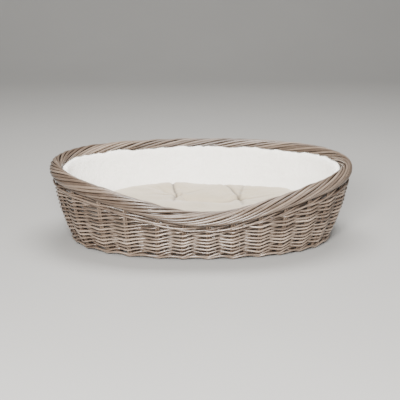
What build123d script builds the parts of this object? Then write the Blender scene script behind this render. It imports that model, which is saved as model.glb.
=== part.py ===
from build123d import *
import math
import os

# Oval willow pet bed basket with a plush liner and a tufted cushion.
# Millimetres, +X right, +Y back, +Z up. Origin at the bottom centre.

# ---- driving dimensions --------------------------------------------------
N_STAKES = 30            # upright stakes round the wall
# hand-set places of the stakes along the front wall, from its middle, at
# height STATION_Z; the others share the rest of the wall evenly
FRONT_STAKES = [-293.0, -228.0, -170.0, -102.0, -46.0, 8.0, 61.0, 121.0, 173.0, 227.0, 279.0]
STATION_Z = 40.0
RIM_A = 336.0            # half length of the border's centre line
RIM_B = 228.5            # half width of the border's centre line
BASE_A = 288.0           # half length of the wall at the floor
BASE_B = 172.0           # half width of the wall at the floor
BASE_N = 2.28            # superellipse power of the wall at the floor
FLARE = 2.05             # how quickly the wall turns upright
RIM_END = 178.0          # border centre height at the two ends
RIM_BACK = 169.0         # border centre height at the back
RIM_FRONT = 106.5        # border centre height at the front dip
DIP_W = 0.40             # half width of the dip, in quarter turns
DIP_P = 2.05             # how square the dip is
BORDER_H = 14.0          # border half width, across the wall
BORDER_V = 17.0          # border half height
BORDER_ROD_R = 2.85      # rod radius in the border
N_BORDER = 60            # border rods: a stake's tail and a bye-stake's tail each
BORDER_LAYERS = 12       # rods side by side round the border's section
Y_SHIFT = -4.2           # centres the bounding box on the origin

STAKE_R = 2.8
BYE_R = 2.2
STAKE_SIDE = 2.8         # sideways offset of a stake from its station
BYE_SIDE = 2.5           # sideways offset of a bye-stake, other side
STRAND_R = 2.1           # weaving rod radius
ROW_PITCH = 8.75
ROW_Z0 = 24.2            # first pairing row
N_ROWS = 13
AMP = 6.95               # corner reach of a strand in and out of the stakes
ZAMP = 2.3               # corner reach of a strand up and down at a gap
WALE_Z = 4.7             # corner reach of a wale rod up and down
UPSETT_Z = 13.2          # centre of the upsett wale

STICK_R = 4.5            # cross sticks of the base
LONG_R = 2.7             # long sticks, run through the cross sticks
STICK_Z = 8.1
PLATE_T = 3.4            # thickness of one face of the base weave
PLATE_IN = 20.0          # base weave edge, in from the wall

LINER_OFF = 15.6         # liner outer face, in from the wall's middle
LINER_T = 11.0
LINER_Z0 = 17.2
LINER_FLOOR_T = 4.0
LINER_UNDER = 2.0        # liner edge below the border's centre line

CUSH_Z0 = 21.8
CUSH_H = 58.0
CUSH_OFF = 34.0           # cushion edge, in from the wall's middle
CUSH_FIL = 24.0
COVER_T = 1.4
TUFT_XY = [(-55.0, 60.0), (92.0, 27.0)]

os.makedirs("parts", exist_ok=True)


# ---- shape of the wall ---------------------------------------------------
def rim_z(t):
    s = math.sin(t)
    back = max(s, 0.0)
    d = math.atan2(math.sin(t + math.pi / 2), math.cos(t + math.pi / 2)) / (math.pi / 2)
    w = 1 / (1 + abs(d / DIP_W) ** DIP_P)
    return RIM_END + (RIM_BACK - RIM_END) * back ** 2 - (RIM_END - RIM_FRONT) * w


def semi(z):
    u = 1 - z / RIM_END
    g = 1 - math.copysign(abs(u) ** FLARE, u)
    return (BASE_A + (RIM_A - BASE_A) * g,
            BASE_B + (RIM_B - BASE_B) * g,
            BASE_N + (2.0 - BASE_N) * g)


def wall(z, t, off=0.0):
    """Point on the wall's middle surface at height z, moved out by off."""
    a, b, n = semi(z)
    c, s = math.cos(t), math.sin(t)
    x = a * math.copysign(abs(c) ** (2 / n), c)
    y = b * math.copysign(abs(s) ** (2 / n), s)
    if off:
        gx = n / a * math.copysign(abs(x / a) ** (n - 1), x)
        gy = n / b * math.copysign(abs(y / b) ** (n - 1), y)
        k = math.hypot(gx, gy)
        x, y = x + off * gx / k, y + off * gy / k
    return x, y + Y_SHIFT


def normal(z, t):
    x0, y0 = wall(z, t)
    x1, y1 = wall(z, t, 1.0)
    return x1 - x0, y1 - y0


def on_wall(z, t, d, up):
    """Point d off the wall's middle surface at height z, and up along it."""
    nx, ny = normal(z, t)
    x1, y1 = wall(z + 2.0, t)
    x0, y0 = wall(z - 2.0, t)
    lean = ((x1 - x0) * nx + (y1 - y0) * ny) / 4.0
    c = 1 / math.hypot(1.0, lean)
    s = lean * c
    x, y = wall(z, t)
    r = d * c + up * s
    return x + nx * r, y + ny * r, z - d * s + up * c


# stake stations: uneven along the front, even round the ends and back
def stations():
    m = 1440
    pts = [wall(STATION_Z, -math.pi / 2 + 2 * math.pi * i / m) for i in range(m + 1)]
    arc = [0.0]
    for p, q in zip(pts, pts[1:]):
        arc.append(arc[-1] + math.dist(p, q))
    whole = arc[-1]
    ahead = [a for a in FRONT_STAKES if a > 0]
    behind = [a + whole for a in FRONT_STAKES if a < 0]
    rest = N_STAKES - len(FRONT_STAKES)
    step = (behind[0] - ahead[-1]) / (rest + 1)
    goals = ahead + [ahead[-1] + step * (i + 1) for i in range(rest)] + behind
    out = []
    j = 0
    for goal in goals:
        while arc[j + 1] < goal:
            j += 1
        f = (goal - arc[j]) / (arc[j + 1] - arc[j])
        out.append(-math.pi / 2 + 2 * math.pi * (j + f) / m)
    return out


ST = stations()


def station(k):
    """Angle of station k, where k may be fractional or past one turn."""
    i = math.floor(k)
    f = k - i
    turns, i0 = divmod(i, N_STAKES)
    t0 = ST[i0] + 2 * math.pi * turns
    turns1, i1 = divmod(i + 1, N_STAKES)
    t1 = ST[i1] + 2 * math.pi * turns1
    return t0 + (t1 - t0) * f


def rod(points, radius, r):
    """Path of straight runs joined by tangent arcs, and the section plane."""
    line = FilletPolyline(*points, radius=r, mode=Mode.PRIVATE)
    return line


# ---- base: long sticks run through the split cross sticks ----------------
long_y = [-26.0, 0.0, 26.0]
cross_x = [-208.0, -156.0, -104.0, -52.0, 0.0, 52.0, 104.0, 156.0, 208.0]
a_in, b_in, n_in = BASE_A - PLATE_IN - 20, BASE_B - PLATE_IN - 20, BASE_N


def half_at(v, along, across, n):
    return across * (1 - (abs(v) / along) ** n) ** (1 / n)


with BuildPart() as base_long_sticks:
    for y in long_y:
        h = half_at(y, b_in, a_in, n_in)
        with BuildSketch(Plane((-h, y + Y_SHIFT, STICK_Z), x_dir=(0, 1, 0), z_dir=(1, 0, 0))):
            Circle(LONG_R)
        extrude(amount=2 * h)
base_long_sticks.part.label = "base_long_sticks"
export_step(base_long_sticks.part, "parts/base_long_sticks.step")

with BuildPart() as base_cross_sticks:
    for x in cross_x:
        h = half_at(x, a_in, b_in, n_in)
        with BuildSketch(Plane((x, -h + Y_SHIFT, STICK_Z), x_dir=(1, 0, 0), z_dir=(0, 1, 0))):
            Circle(STICK_R)
        extrude(amount=2 * h)
    for y in long_y:
        with BuildSketch(Plane((-260, y + Y_SHIFT, STICK_Z), x_dir=(0, 1, 0), z_dir=(1, 0, 0))):
            Circle(LONG_R + 0.1)
        extrude(amount=520, mode=Mode.SUBTRACT)
base_cross_sticks.part.label = "base_cross_sticks"
export_step(base_cross_sticks.part, "parts/base_cross_sticks.step")


def outline(z, off, n_pts=48):
    return [wall(z, 2 * math.pi * (i + 0.5) / n_pts, off) for i in range(n_pts)]


# the two faces of the base weave, under and over the sticks
with BuildPart() as base_weave_under:
    with BuildSketch(Plane.XY):
        with BuildLine():
            Spline(*outline(0, -PLATE_IN), periodic=True)
        make_face()
    extrude(amount=PLATE_T)
    fillet(base_weave_under.faces().sort_by(Axis.Z)[-1].edges(), 1.2)
base_weave_under.part.label = "base_weave_under"
export_step(base_weave_under.part, "parts/base_weave_under.step")

with BuildPart() as base_weave_over:
    with BuildSketch(Plane.XY.offset(STICK_Z + STICK_R + 0.15)):
        with BuildLine():
            Spline(*outline(0, -PLATE_IN + 2), periodic=True)
        make_face()
    extrude(amount=PLATE_T)
    fillet(base_weave_over.faces().sort_by(Axis.Z)[-1].edges(), 1.2)
base_weave_over.part.label = "base_weave_over"
export_step(base_weave_over.part, "parts/base_weave_over.step")


# ---- stakes: driven into the base, pricked up, and up the wall ----------
def foot_room(k, side):
    # how far a stake's foot reaches in before it would meet a base stick
    t = station(k)
    nx, ny = normal(40.0, t)
    x0, y0 = wall(0.0, t)
    x0, y0 = x0 - ny * side, y0 + nx * side - Y_SHIFT
    back = 26.0
    while back < 78.0:
        px, py = x0 - nx * (back + 1), y0 - ny * (back + 1)
        gaps = [math.hypot(px - x, max(0, abs(py) - half_at(x, a_in, b_in, n_in))) - STICK_R for x in cross_x]
        gaps += [math.hypot(py - y, max(0, abs(px) - half_at(y, b_in, a_in, n_in))) - LONG_R for y in long_y]
        if min(gaps) < STAKE_R + 0.4:
            break
        back += 1.0
    return back


def stake_points(k, side, z_from_floor):
    t = station(k)
    nx, ny = normal(40.0, t)
    tx, ty = -ny, nx
    slope = (rim_z(t + 0.02) - rim_z(t - 0.02)) / math.dist(wall(100.0, t + 0.02), wall(100.0, t - 0.02))
    top = rim_z(t) - (BORDER_V + 1.0) * math.hypot(1.0, slope) - (STAKE_R + STAKE_SIDE) * abs(slope)
    pts = []
    if z_from_floor:
        x0, y0 = wall(0.0, t)
        for back, z in ((foot_room(k, side), 8.1), (20.0, 7.2), (-1.2, 3.0)):
            pts.append((x0 - nx * back + tx * side, y0 - ny * back + ty * side, z))
        z0 = 17.0
    else:
        z0 = 9.0
    m = round((top - z0) / 17)
    zs = [z0 + (top - z0) * i / m for i in range(m + 1)]
    for z in zs:
        x, y = wall(z, t)
        pts.append((x + tx * side, y + ty * side, z))
    return pts


with BuildPart() as stakes:
    for k in range(N_STAKES):
        pts = stake_points(k, -STAKE_SIDE, True)
        radii = [24.0, 9.0, 40.0] + [100.0] * (len(pts) - 5)
        with BuildLine() as path:
            FilletPolyline(*pts, radius=radii)
        with BuildSketch(Plane(path.line @ 0, z_dir=path.line % 0)):
            Circle(STAKE_R)
        sweep()
stakes.part.label = "stakes"
export_step(stakes.part, "parts/stakes.step")

with BuildPart() as bye_stakes:
    for k in range(N_STAKES):
        pts = stake_points(k, BYE_SIDE, False)
        with BuildLine() as path:
            FilletPolyline(*pts, radius=100.0)
        with BuildSketch(Plane(path.line @ 0, z_dir=path.line % 0)):
            Circle(BYE_R)
        sweep()
bye_stakes.part.label = "bye_stakes"
export_step(bye_stakes.part, "parts/bye_stakes.step")


# ---- wall weave: rows of pairing, two rods twisted between the stakes ----
def pairing_points(z, start, end, phase):
    """start and end are station numbers; phase 0 is outside at an even one."""
    pts = []
    k = start
    while k <= end + 1e-6:
        ph = math.pi * (k + phase)
        d = AMP * math.cos(ph)
        dz = ZAMP * math.sin(ph)
        t = station(k)
        pts.append(on_wall(z, t, d, dz))
        k += 0.5
    return pts


def trim_ends(pts, gap):
    """Pull both ends back along their runs."""
    (x0, y0, z0), (x1, y1, z1) = pts[0], pts[1]
    f = gap / math.dist(pts[0], pts[1])
    pts[0] = (x0 + (x1 - x0) * f, y0 + (y1 - y0) * f, z0 + (z1 - z0) * f)
    (x0, y0, z0), (x1, y1, z1) = pts[-1], pts[-2]
    f = gap / math.dist(pts[-1], pts[-2])
    pts[-1] = (x0 + (x1 - x0) * f, y0 + (y1 - y0) * f, z0 + (z1 - z0) * f)
    return pts


def row_runs(z):
    """Runs of stations where a row fits under the top wale; None is all round."""
    room = BORDER_V + 8.2 + WALE_Z + STRAND_R
    ok = [rim_z(ST[k]) - room >= z + ZAMP + STRAND_R + 0.2 for k in range(N_STAKES)]
    if all(ok):
        return None
    runs = []
    k = 0
    while k < N_STAKES:
        if ok[k]:
            e = k
            while e + 1 < N_STAKES and ok[e + 1]:
                e += 1
            if e - k >= 3:
                runs.append((k, e))
            k = e
        k += 1
    return runs


for row in range(N_ROWS):
    z = ROW_Z0 + ROW_PITCH * row
    runs = row_runs(z)
    name = "weave_row_%02d" % (row + 1)
    strands = []
    for phase in (0, 1):
        if runs is None:
            # the row's rods start and end behind one stake
            first = (row * 7) % N_STAKES
            first += (first + phase + 1) % 2
            strands.append(trim_ends(pairing_points(z, first, first + N_STAKES, phase), 1.2))
        else:
            for k0, k1 in runs:
                strands.append(trim_ends(pairing_points(z, k0, k1, phase), -4.0))
    with BuildPart() as weave_row:
        for pts in strands:
            with BuildLine() as path:
                FilletPolyline(*pts, radius=30.0)
            with BuildSketch(Plane(path.line @ 0, z_dir=path.line % 0)):
                Circle(STRAND_R)
            sweep()
    weave_row.part.label = name
    export_step(weave_row.part, "parts/" + name + ".step")


# ---- wales: three rods, each outside two stakes and inside one ----------
def wale_points(first, z_of):
    pts = []
    for i in range(2 * N_STAKES + 1):
        k = first + i / 2
        step = i % 6
        d, dz = ((-AMP, 0.0), (0.0, -WALE_Z), (AMP, -WALE_Z / 2),
                 (AMP + 0.6, 0.0), (AMP, WALE_Z / 2), (0.0, WALE_Z))[step]
        t = station(k)
        pts.append(on_wall(z_of(t), t, d, dz))
    return pts


def wale_part(z_of, first):
    lines = []
    for s in range(3):
        lines.append(trim_ends(wale_points(first + s, z_of), 1.2))
    return lines


with BuildPart() as upsett_wale:
    for pts in wale_part(lambda t: UPSETT_Z, 4):
        with BuildLine() as path:
            FilletPolyline(*pts, radius=24.0)
        with BuildSketch(Plane(path.line @ 0, z_dir=path.line % 0)):
            Circle(STRAND_R)
        sweep()
upsett_wale.part.label = "upsett_wale"
export_step(upsett_wale.part, "parts/upsett_wale.step")

with BuildPart() as top_wale:
    for pts in wale_part(lambda t: rim_z(t) - BORDER_V - 8.2, 19):
        with BuildLine() as path:
            FilletPolyline(*pts, radius=24.0)
        with BuildSketch(Plane(path.line @ 0, z_dir=path.line % 0)):
            Circle(STRAND_R)
        sweep()
top_wale.part.label = "top_wale"
export_step(top_wale.part, "parts/top_wale.step")


# ---- rope border ---------------------------------------------------------
def rim_table():
    m = 1440
    pts = []
    for i in range(m + 1):
        t = 2 * math.pi * i / m
        z = rim_z(t)
        x, y = wall(z, t)
        pts.append((x, y, z))
    arc = [0.0]
    for p, q in zip(pts, pts[1:]):
        arc.append(arc[-1] + math.dist(p, q))
    return arc


ARC = rim_table()
RIM_LEN = ARC[-1]


def rim_t(s):
    turns, s = divmod(s, RIM_LEN)
    lo, hi = 0, len(ARC) - 1
    while hi - lo > 1:
        mid = (lo + hi) // 2
        if ARC[mid] <= s:
            lo = mid
        else:
            hi = mid
    f = (s - ARC[lo]) / (ARC[hi] - ARC[lo])
    return 2 * math.pi * (lo + f) / 1440 + 2 * math.pi * turns


def rim_frame(s):
    """Centre, outward and upward directions across the border."""
    t = rim_t(s)
    z = rim_z(t)
    x, y = wall(z, t)
    c = Vector(x, y, z)
    t2, t1 = rim_t(s + 2.0), rim_t(s - 2.0)
    p2, p1 = Vector(*wall(rim_z(t2), t2), rim_z(t2)), Vector(*wall(rim_z(t1), t1), rim_z(t1))
    tan = (p2 - p1).normalized()
    nx, ny = normal(z, t)
    out = Vector(nx, ny, 0)
    out = (out - tan * out.dot(tan)).normalized()
    up = out.cross(tan) * -1
    if up.Z < 0:
        up = up * -1
    return c, out, up, tan


# even steps of arc round the rods' ellipse
EH, EV = BORDER_H - BORDER_ROD_R, BORDER_V - BORDER_ROD_R
ELL = [0.0]
for i in range(720):
    a0, a1 = 2 * math.pi * i / 720, 2 * math.pi * (i + 1) / 720
    ELL.append(ELL[-1] + math.dist((EH * math.cos(a0), EV * math.sin(a0)),
                                   (EH * math.cos(a1), EV * math.sin(a1))))


def ell_angle(f):
    turns, f = divmod(f, 1.0)
    goal = f * ELL[-1]
    i = next(j for j in range(720) if ELL[j + 1] >= goal)
    g = (goal - ELL[i]) / (ELL[i + 1] - ELL[i])
    return 2 * math.pi * (i + g) / 720 + 2 * math.pi * turns


LAY = RIM_LEN * BORDER_LAYERS / N_BORDER
STEPS = 11
SWEEP_TURN = 11 / 12      # share of a full turn that one rod makes

with BuildPart() as border_rods:
    for i in range(N_BORDER):
        s0 = RIM_LEN * i / N_BORDER
        pts = []
        for j in range(STEPS + 1):
            f = SWEEP_TURN * j / STEPS
            c, out, up, _ = rim_frame(s0 + f * LAY)
            th = ell_angle(0.70 + f)
            p = c + out * (EH * math.cos(th)) + up * (EV * math.sin(th))
            pts.append((p.X, p.Y, p.Z))
        with BuildLine() as path:
            FilletPolyline(*pts, radius=24.0)
        with BuildSketch(Plane(path.line @ 0, z_dir=path.line % 0)):
            Circle(BORDER_ROD_R)
        sweep()
border_rods.part.label = "border_rods"
export_step(border_rods.part, "parts/border_rods.step")

# tails of the rods, bundled inside the border in lengths between stakes
CORE_H, CORE_V = EH - BORDER_ROD_R - 0.8, EV - BORDER_ROD_R - 0.8
with BuildPart() as border_core:
    n_core = 10
    for i in range(n_core):
        s0 = RIM_LEN * i / n_core
        length = RIM_LEN / n_core
        pts = []
        for j in range(7):
            c, out, up, tan = rim_frame(s0 + length * j / 6)
            pts.append(c)
        # close to the next length, but clear of it
        pts[0] = pts[0] + (pts[1] - pts[0]).normalized() * 0.3
        pts[-1] = pts[-1] + (pts[-2] - pts[-1]).normalized() * 0.3
        with BuildLine() as path:
            FilletPolyline(*[(p.X, p.Y, p.Z) for p in pts], radius=60.0)
        c, out, up, tan = rim_frame(s0)
        d = path.line % 0
        xd = (out - d * out.dot(d)).normalized()
        with BuildSketch(Plane(path.line @ 0, x_dir=xd, z_dir=d)):
            Ellipse(CORE_H, CORE_V)
        sweep()
border_core.part.label = "border_core"
export_step(border_core.part, "parts/border_core.step")


# ---- plush liner ---------------------------------------------------------
def liner_section(k, n_sec=40):
    """Plane across the wall at section k, and the liner's outline in it."""
    t = 2 * math.pi * (k + 0.5) / n_sec
    x0, y0 = wall(60.0, t, -LINER_OFF)
    nx, ny = normal(60.0, t)
    top = rim_z(t) - LINER_UNDER
    zs = [LINER_Z0, 45.0, 75.0, top]
    outer = []
    for z in zs:
        x, y = wall(z, t, -LINER_OFF)
        outer.append(((x - x0) * nx + (y - y0) * ny, z))
    inner = [(r - LINER_T, z) for r, z in outer]
    r, z = outer[-1]
    inner[-1] = (r - LINER_T, z - 3.0)
    rim = [(r - 2.5, z + 1.5), (r - LINER_T + 3.0, z + 1.0)]
    plane = Plane((x0, y0, 0), x_dir=(nx, ny, 0), z_dir=(ny, -nx, 0))
    return plane, outer + rim + inner[::-1]


N_SEC = 40
with BuildPart() as liner_wall:
    for half in (0, 1):
        for k in range(N_SEC // 2 + 1):
            plane, points = liner_section(half * N_SEC // 2 + k, N_SEC)
            with BuildSketch(plane):
                Polygon(*points, align=None)
        loft(ruled=True)
liner_wall.part.label = "liner_wall"
export_step(liner_wall.part, "parts/liner_wall.step")

with BuildPart() as liner_floor:
    with BuildSketch(Plane.XY.offset(LINER_Z0)):
        with BuildLine():
            Spline(*outline(LINER_Z0, -LINER_OFF - LINER_T - 1.6, 40), periodic=True)
        make_face()
    extrude(amount=LINER_FLOOR_T)
liner_floor.part.label = "liner_floor"
export_step(liner_floor.part, "parts/liner_floor.step")


# ---- cushion: two cover panels round a fibre filling, two tufts ---------
def cushion_outline(off):
    return outline(50.0, -CUSH_OFF - off, 40)


CUSH_MID = CUSH_Z0 + CUSH_H / 2


def cushion_block(z0, z1, off, fil):
    """Plump block with the cushion's outline."""
    with BuildPart(mode=Mode.PRIVATE) as block:
        with BuildSketch(Plane.XY.offset(z0)):
            with BuildLine():
                Spline(*cushion_outline(off), periodic=True)
            make_face()
        extrude(amount=z1 - z0)
        fillet(block.edges().filter_by(GeomType.LINE, reverse=True), fil)
    return block.part


outer = cushion_block(CUSH_Z0, CUSH_Z0 + CUSH_H, 0.0, CUSH_FIL)
inner = cushion_block(CUSH_Z0 + COVER_T, CUSH_Z0 + CUSH_H - COVER_T, COVER_T, CUSH_FIL - COVER_T)
fill_block = cushion_block(CUSH_Z0 + COVER_T + 0.1, CUSH_Z0 + CUSH_H - COVER_T - 0.1,
                           COVER_T + 0.1, CUSH_FIL - COVER_T - 0.1)

with BuildPart() as cushion_top_panel:
    add(outer)
    add(inner, mode=Mode.SUBTRACT)
    with Locations(*[(x, y, CUSH_MID) for x, y in TUFT_XY]):
        Cylinder(1.4, 80, mode=Mode.SUBTRACT)
    split(bisect_by=Plane.XY.offset(CUSH_MID + 0.05), keep=Keep.TOP)
cushion_top_panel.part.label = "cushion_top_panel"
export_step(cushion_top_panel.part, "parts/cushion_top_panel.step")

with BuildPart() as cushion_bottom_panel:
    add(outer)
    add(inner, mode=Mode.SUBTRACT)
    with Locations(*[(x, y, CUSH_MID) for x, y in TUFT_XY]):
        Cylinder(1.4, 80, mode=Mode.SUBTRACT)
    split(bisect_by=Plane.XY.offset(CUSH_MID - 0.05), keep=Keep.BOTTOM)
cushion_bottom_panel.part.label = "cushion_bottom_panel"
export_step(cushion_bottom_panel.part, "parts/cushion_bottom_panel.step")

with BuildPart() as cushion_filling:
    add(fill_block)
    with Locations(*[(x, y, CUSH_MID) for x, y in TUFT_XY]):
        Cylinder(1.4, 80, mode=Mode.SUBTRACT)
cushion_filling.part.label = "cushion_filling"
export_step(cushion_filling.part, "parts/cushion_filling.step")

# a doubled thread through the cushion, with a stitch bar on each face
with BuildPart() as cushion_tuft_threads:
    for x, y in TUFT_XY:
        with BuildSketch(Plane((x, y, CUSH_Z0 - 0.3))):
            Circle(0.9)
        extrude(amount=CUSH_H + 0.9)
        for z, thick in ((CUSH_Z0 - 0.5, 0.45), (CUSH_Z0 + CUSH_H + 0.1, 1.1)):
            with BuildSketch(Plane((x, y, z))):
                SlotOverall(8.0, 2.2)
            extrude(amount=thick)
cushion_tuft_threads.part.label = "cushion_tuft_threads"
export_step(cushion_tuft_threads.part, "parts/cushion_tuft_threads.step")

print("rim length %.1f mm, lay %.1f mm, stations %.1f mm apart" % (
    RIM_LEN, LAY, RIM_LEN / N_STAKES))
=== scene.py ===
import bpy
import math
import numpy as np
from mathutils import Vector, Matrix, noise
from mathutils.bvhtree import BVHTree


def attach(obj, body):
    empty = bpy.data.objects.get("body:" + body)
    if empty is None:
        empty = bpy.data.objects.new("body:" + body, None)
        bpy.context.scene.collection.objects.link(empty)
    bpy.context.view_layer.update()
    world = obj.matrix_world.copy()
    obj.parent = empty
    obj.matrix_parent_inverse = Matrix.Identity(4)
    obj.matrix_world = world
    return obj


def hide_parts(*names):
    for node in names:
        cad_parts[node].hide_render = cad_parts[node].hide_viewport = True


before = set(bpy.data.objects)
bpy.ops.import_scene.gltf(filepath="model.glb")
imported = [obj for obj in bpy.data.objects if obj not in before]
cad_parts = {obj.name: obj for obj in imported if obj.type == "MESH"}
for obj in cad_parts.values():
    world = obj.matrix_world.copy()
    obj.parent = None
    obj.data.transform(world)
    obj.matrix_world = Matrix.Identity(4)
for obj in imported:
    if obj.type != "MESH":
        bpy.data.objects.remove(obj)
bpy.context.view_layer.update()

rng = np.random.default_rng(243)
SC = bpy.context.scene

# ------------------------------------------------------------------ shape
# The same wall, rim and stations as the CAD model, in millimetres.
N_ST = 30
RIM_A, RIM_B = 336.0, 228.5
BASE_A, BASE_B, BASE_N = 288.0, 172.0, 2.28
FLARE = 2.05
RIM_END, RIM_BACK, RIM_FRONT = 178.0, 169.0, 106.5
DIP_W, DIP_P = 0.40, 2.05
BORDER_H, BORDER_V = 14.0, 17.0
Y_SHIFT = -4.2
FRONT_STAKES = [-293.0, -228.0, -170.0, -102.0, -46.0, 8.0, 61.0, 121.0, 173.0, 227.0, 279.0]
ROW_Z0, ROW_PITCH, N_ROWS = 24.2, 8.75, 13
UPSETT_Z = 13.2
TUFTS = [(-55.0, 60.0), (92.0, 27.0)]


def rim_z(t):
    t = np.asarray(t, float)
    back = np.clip(np.sin(t), 0, None)
    d = np.arctan2(np.sin(t + np.pi / 2), np.cos(t + np.pi / 2)) / (np.pi / 2)
    w = 1 / (1 + np.abs(d / DIP_W) ** DIP_P)
    return RIM_END + (RIM_BACK - RIM_END) * back ** 2 - (RIM_END - RIM_FRONT) * w


def wall(z, t, off=0.0):
    """Points (n, 2) on the wall's middle surface and its outward normal."""
    z, t = np.broadcast_arrays(np.asarray(z, float), np.asarray(t, float))
    u = 1 - z / RIM_END
    g = 1 - np.sign(u) * np.abs(u) ** FLARE
    a = BASE_A + (RIM_A - BASE_A) * g
    b = BASE_B + (RIM_B - BASE_B) * g
    n = BASE_N + (2.0 - BASE_N) * g
    c, s = np.cos(t), np.sin(t)
    x = a * np.sign(c) * np.abs(c) ** (2 / n)
    y = b * np.sign(s) * np.abs(s) ** (2 / n)
    gx = n / a * np.sign(x) * np.abs(x / a) ** (n - 1)
    gy = n / b * np.sign(y) * np.abs(y / b) ** (n - 1)
    k = np.hypot(gx, gy)
    nx, ny = gx / k, gy / k
    return x + off * nx, y + off * ny + Y_SHIFT, nx, ny


def on_wall(z, t, d, up):
    """Points d off the wall's middle surface and up along it."""
    x, y, nx, ny = wall(z, t)
    x1, y1, _, _ = wall(z + 2.0, t)
    x0, y0, _, _ = wall(z - 2.0, t)
    lean = ((x1 - x0) * nx + (y1 - y0) * ny) / 4.0
    c = 1 / np.hypot(1.0, lean)
    s = lean * c
    r = d * c + up * s
    return np.stack([x + nx * r, y + ny * r, z - d * s + up * c], -1)


def make_stations():
    t = -np.pi / 2 + np.linspace(0, 2 * np.pi, 2881)
    x, y, _, _ = wall(40.0, t)
    arc = np.concatenate([[0], np.cumsum(np.hypot(np.diff(x), np.diff(y)))])
    whole = arc[-1]
    ahead = [a for a in FRONT_STAKES if a > 0]
    behind = [a + whole for a in FRONT_STAKES if a < 0]
    rest = N_ST - len(FRONT_STAKES)
    step = (behind[0] - ahead[-1]) / (rest + 1)
    goals = ahead + [ahead[-1] + step * (i + 1) for i in range(rest)] + behind
    return np.interp(goals, arc, t)


ST = make_stations()
ST_EXT = np.concatenate([ST - 2 * np.pi, ST, ST + 2 * np.pi, ST + 4 * np.pi])
K_EXT = np.arange(-N_ST, 3 * N_ST)


def station(k):
    return np.interp(k, K_EXT, ST_EXT)


def smooth_noise(s, length, amp, waves=5):
    """Smooth seeded wobble along s with features about as long as length."""
    out = np.zeros_like(s)
    for i in range(waves):
        lam = length * (0.6 + 1.6 * rng.random())
        out += np.sin(2 * np.pi * s / lam + rng.random() * 2 * np.pi)
    return out * amp / math.sqrt(waves / 2)


# --------------------------------------------------------------- mesh kit
class Tubes:
    """Collects rods as closed tubes, with a value per rod and a place along it."""

    def __init__(self):
        self.v, self.f, self.tone, self.along, self.deep, self.n = [], [], [], [], [], 0

    def add(self, path, radius, sides=10, tone=0.5, deep=None, face=None, hollow=0.0, s0=0.0, point=0.0):
        P = np.asarray(path, float)
        n = len(P)
        R = np.broadcast_to(np.asarray(radius, float), (n,)).copy()
        T = np.gradient(P, axis=0)
        T /= np.linalg.norm(T, axis=1)[:, None] + 1e-12
        N = np.zeros_like(P)
        ref = np.array([0.0, 0.0, 1.0])
        if abs(T[0] @ ref) > 0.9:
            ref = np.array([1.0, 0.0, 0.0])
        v = ref - T[0] * (T[0] @ ref)
        N[0] = v / np.linalg.norm(v)
        for i in range(1, n):
            v = N[i - 1] - T[i] * (T[i] @ N[i - 1])
            N[i] = v / (np.linalg.norm(v) + 1e-12)
        B = np.cross(T, N)
        a = np.linspace(0, 2 * np.pi, sides, endpoint=False)
        ca, sa = np.cos(a), np.sin(a)
        ring = P[:, None, :] + R[:, None, None] * (ca[None, :, None] * N[:, None, :] + sa[None, :, None] * B[:, None, :])
        V = ring.reshape(-1, 3)
        base = self.n
        # domed ends
        tip0 = P[0] - T[0] * R[0] * (0.35 + point)
        tip1 = P[-1] + T[-1] * R[-1] * (0.35 + point)
        V = np.vstack([V, tip0, tip1])
        i = np.arange(n - 1)[:, None] * sides
        j = np.arange(sides)[None, :]
        j1 = (j + 1) % sides
        q = np.stack([i + j, i + j1, i + sides + j1, i + sides + j], -1).reshape(-1, 4) + base
        self.f += q.tolist()
        c0, c1 = base + n * sides, base + n * sides + 1
        last = base + (n - 1) * sides
        for k in range(sides):
            k1 = (k + 1) % sides
            self.f.append([base + k1, base + k, c0])
            self.f.append([last + k, last + k1, c1])
        self.v.append(V)
        s = np.concatenate([[0], np.cumsum(np.linalg.norm(np.diff(P, axis=0), axis=1))]) + s0
        self.along.append(np.concatenate([np.repeat(s, sides), [s[0], s[-1]]]))
        self.tone.append(np.full(len(V), tone))
        if deep is None:
            deep = np.zeros(n)
        deep = np.repeat(np.broadcast_to(np.asarray(deep, float), (n,)), sides)
        if face is not None:
            # painted shade, with some stain, on the sides turned away from the open face
            rel = (ring - P[:, None, :]) / R[:, None, None]
            dot = np.einsum('ijk,ik->ij', rel, np.asarray(face, float)).reshape(-1)
            deep = deep + hollow * np.clip((0.62 - dot) / 0.9, 0, 1) ** 1.2
        self.deep.append(np.concatenate([deep, [deep[0], deep[-1]]]))
        self.n += len(V)

    def build(self, name, mat):
        V = np.vstack(self.v) / 1000.0
        me = bpy.data.meshes.new(name)
        me.from_pydata(V.tolist(), [], self.f)
        me.update()
        for key, arr in (("tone", self.tone), ("along", self.along), ("deep", self.deep)):
            at = me.attributes.new(key, 'FLOAT', 'POINT')
            vals = np.concatenate(arr).astype(np.float32)
            if key == "along":
                vals = vals / 1000.0
            at.data.foreach_set("value", vals)
        me.polygons.foreach_set("use_smooth", [True] * len(me.polygons))
        ob = bpy.data.objects.new(name, me)
        SC.collection.objects.link(ob)
        me.materials.append(mat)
        return ob


def mesh_object(name, V, F, mat, smooth=True):
    me = bpy.data.meshes.new(name)
    me.from_pydata([tuple(p) for p in V], [], F)
    me.update()
    if smooth:
        me.polygons.foreach_set("use_smooth", [True] * len(me.polygons))
    ob = bpy.data.objects.new(name, me)
    SC.collection.objects.link(ob)
    me.materials.append(mat)
    return ob


# -------------------------------------------------------------- materials
def nodes_of(name):
    m = bpy.data.materials.new(name)
    m.use_nodes = True
    nt = m.node_tree
    b = nt.nodes.get("Principled BSDF")
    return m, nt, b


def attr(nt, name):
    a = nt.nodes.new("ShaderNodeAttribute")
    a.attribute_name = name
    return a.outputs["Fac"]


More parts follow.
